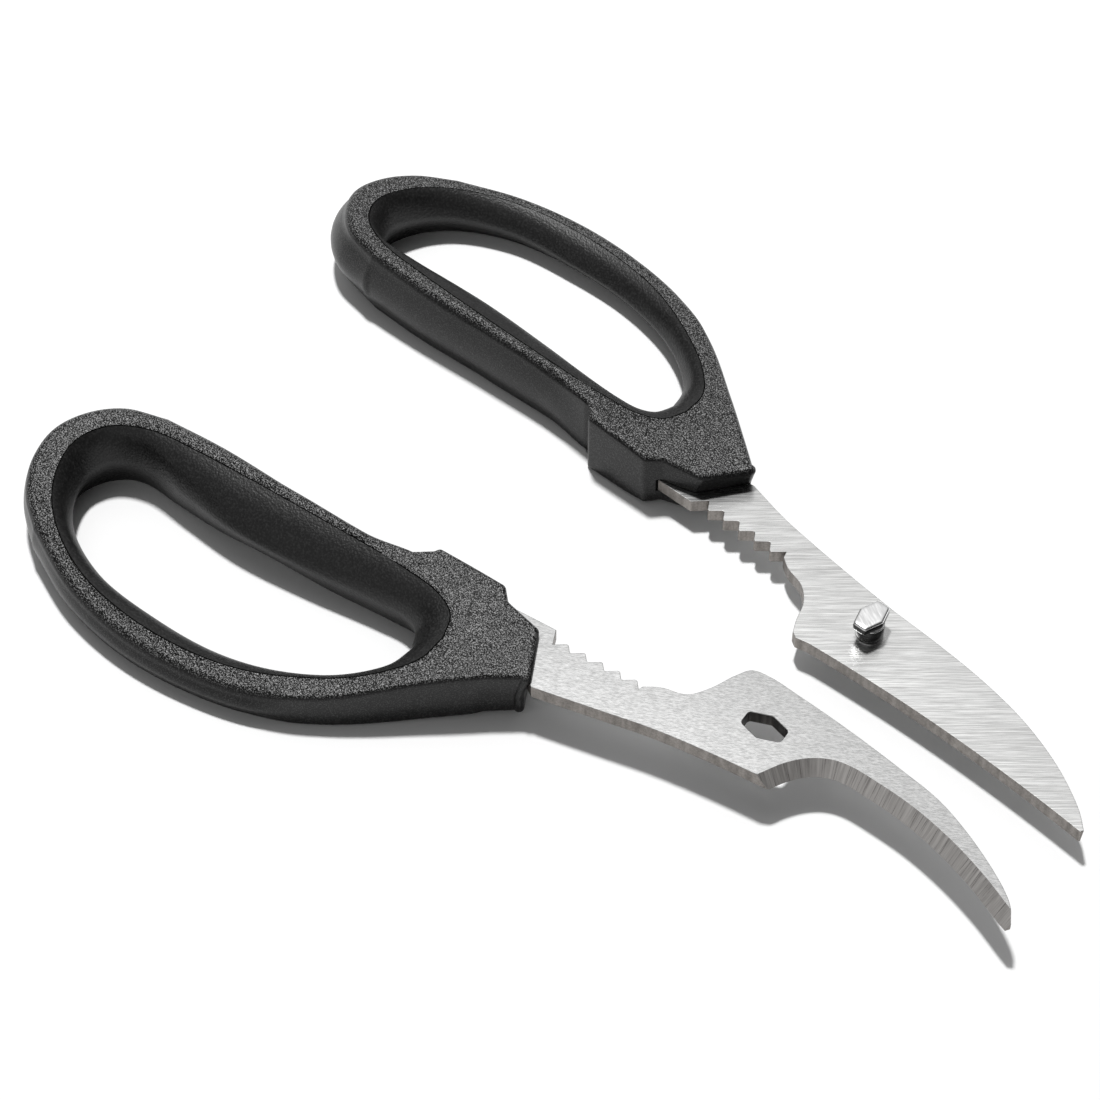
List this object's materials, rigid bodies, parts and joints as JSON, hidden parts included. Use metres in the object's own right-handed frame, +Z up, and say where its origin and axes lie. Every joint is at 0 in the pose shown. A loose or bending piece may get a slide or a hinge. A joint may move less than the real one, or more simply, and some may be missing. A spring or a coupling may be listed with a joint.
{
  "type": "poultry shears",
  "caption": "Take-apart poultry shears lying open: a convex blade with a hexagonal-headed pin, a hooked blade with a matching hole, and black looped handles with soft liners.",
  "frame": {"origin": "centre of the plan bounding box, on the surface the shears lie on", "axes": "+X along the pin half's blade towards its tip, +Y towards the pin half's handle loop, +Z up from the surface"},
  "size_m": [0.217, 0.1462, 0.0169],
  "materials": {
    "brushed_blade_steel": "straight brushed",
    "polished_pin_steel": "polished",
    "textured_black_plastic": "fine spark-eroded texture",
    "soft_black_liner": "satin, smoother than the shell"
  },
  "bodies": {
    "pin_half": {"pin_blade": "brushed_blade_steel", "pin_handle_shell": "textured_black_plastic", "pin_handle_grip": "soft_black_liner", "pivot_pin": "polished_pin_steel"},
    "collar": {"pivot_collar": "polished_pin_steel"},
    "hook_half": {"hook_blade": "brushed_blade_steel", "hook_handle_shell": "textured_black_plastic", "hook_handle_grip": "soft_black_liner"}
  },
  "joints": [
    {"name": "blade_pivot", "type": "hinge", "parent": "pin_half", "child": "collar", "pos_m": [0.04896, 0.02484, 0.009], "axis": [0, 0, 1], "range_deg": [-9, 81]},
    {"name": "join_halves", "type": "slide", "parent": "collar", "child": "hook_half", "axis": [-0.0319, 0.9473, 0.3187], "range_m": [0, 0.0345]}
  ]
}
